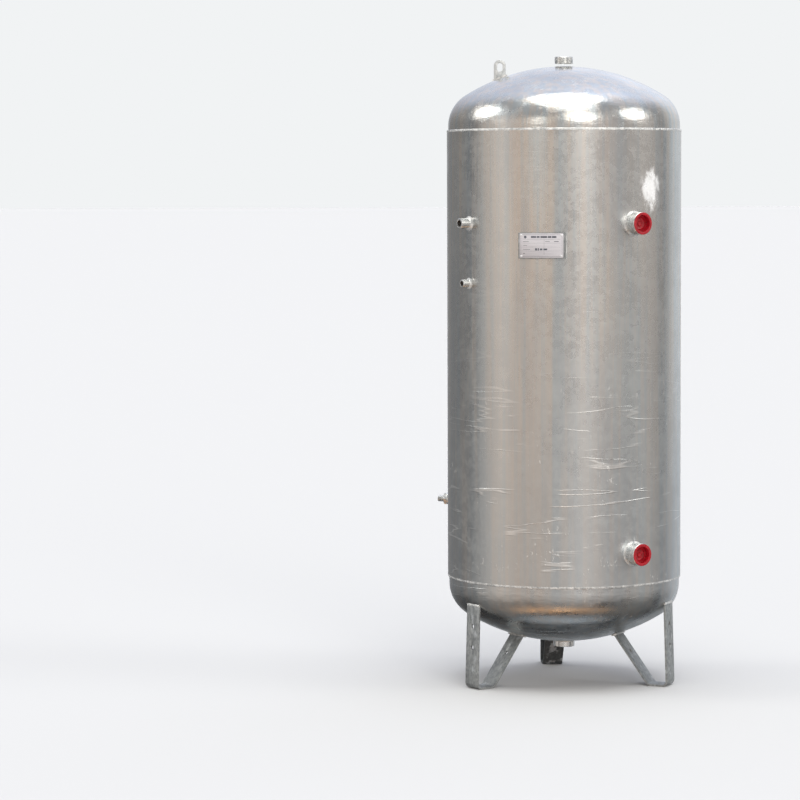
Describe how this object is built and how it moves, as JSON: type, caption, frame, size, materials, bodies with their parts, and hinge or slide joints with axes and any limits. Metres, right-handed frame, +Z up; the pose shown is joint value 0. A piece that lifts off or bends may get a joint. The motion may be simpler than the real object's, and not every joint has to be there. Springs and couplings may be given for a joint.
{
  "type": "air receiver tank",
  "caption": "Vertical galvanised compressed-air receiver with dished heads, threaded ports with plastic caps, a lifting eye and bent flat-bar legs.",
  "frame": {"origin": "on the floor under the tank's axis, at the centre of the feet's bolt circle", "axes": "+Z up along the tank's axis; -Y is the side with the nameplate; +X is to the right seen from that side"},
  "size_m": [0.7892, 0.7705, 2.0052],
  "materials": {
    "galvanised_sheet": "hot-dip galvanised sheet, semi-gloss with a soft mottle",
    "galvanised_bar": "hot-dip galvanised flat bar, matt",
    "zinc_fitting": "bright zinc on turned steel",
    "weld_bead": "zinc-coated weld bead, rippled",
    "red_plastic": "soft polyethylene, dark red, slightly glossy",
    "plate_aluminium": "satin anodised aluminium"
  },
  "bodies": {
    "tank": {"bottom_girth_weld": "weld_bead", "bottom_head": "galvanised_sheet", "bracket_weld_left": "weld_bead", "bracket_weld_right": "weld_bead", "drain_socket": "zinc_fitting", "drain_socket_weld": "weld_bead", "front_left_brace_weld": "weld_bead", "front_left_leg": "galvanised_bar", "front_left_strip_weld": "weld_bead", "front_right_brace_weld": "weld_bead", "front_right_leg": "galvanised_bar", "front_right_strip_weld": "weld_bead", "gauge_socket": "zinc_fitting", "gauge_socket_weld": "weld_bead", "inlet_adapter": "zinc_fitting", "inlet_socket": "zinc_fitting", "inlet_socket_weld": "weld_bead", "lifting_eye": "galvanised_bar", "lifting_eye_weld": "weld_bead", "longitudinal_weld": "weld_bead", "lower_outlet_socket": "zinc_fitting", "lower_outlet_socket_weld": "weld_bead", "nameplate": "plate_aluminium", "nameplate_bracket": "galvanised_bar", "nameplate_rivet_1": "plate_aluminium", "nameplate_rivet_2": "plate_aluminium", "nameplate_rivet_3": "plate_aluminium", "nameplate_rivet_4": "plate_aluminium", "rear_brace_weld": "weld_bead", "rear_leg": "galvanised_bar", "rear_strip_weld": "weld_bead", "shell": "galvanised_sheet", "switch_socket": "zinc_fitting", "switch_socket_weld": "weld_bead", "top_girth_weld": "weld_bead", "top_head": "galvanised_sheet", "top_nipple": "zinc_fitting", "top_nipple_weld": "weld_bead", "upper_outlet_socket": "zinc_fitting", "upper_outlet_socket_weld": "weld_bead"},
    "upper_cap": {"upper_outlet_cap": "red_plastic"},
    "lower_cap": {"lower_outlet_cap": "red_plastic"}
  },
  "joints": [
    {"name": "upper_cap_pull", "type": "slide", "parent": "tank", "child": "upper_cap", "axis": [0.585, -0.8111, 0], "range_m": [0, 0.05]},
    {"name": "lower_cap_pull", "type": "slide", "parent": "tank", "child": "lower_cap", "axis": [0.585, -0.8111, 0], "range_m": [0, 0.05]}
  ]
}
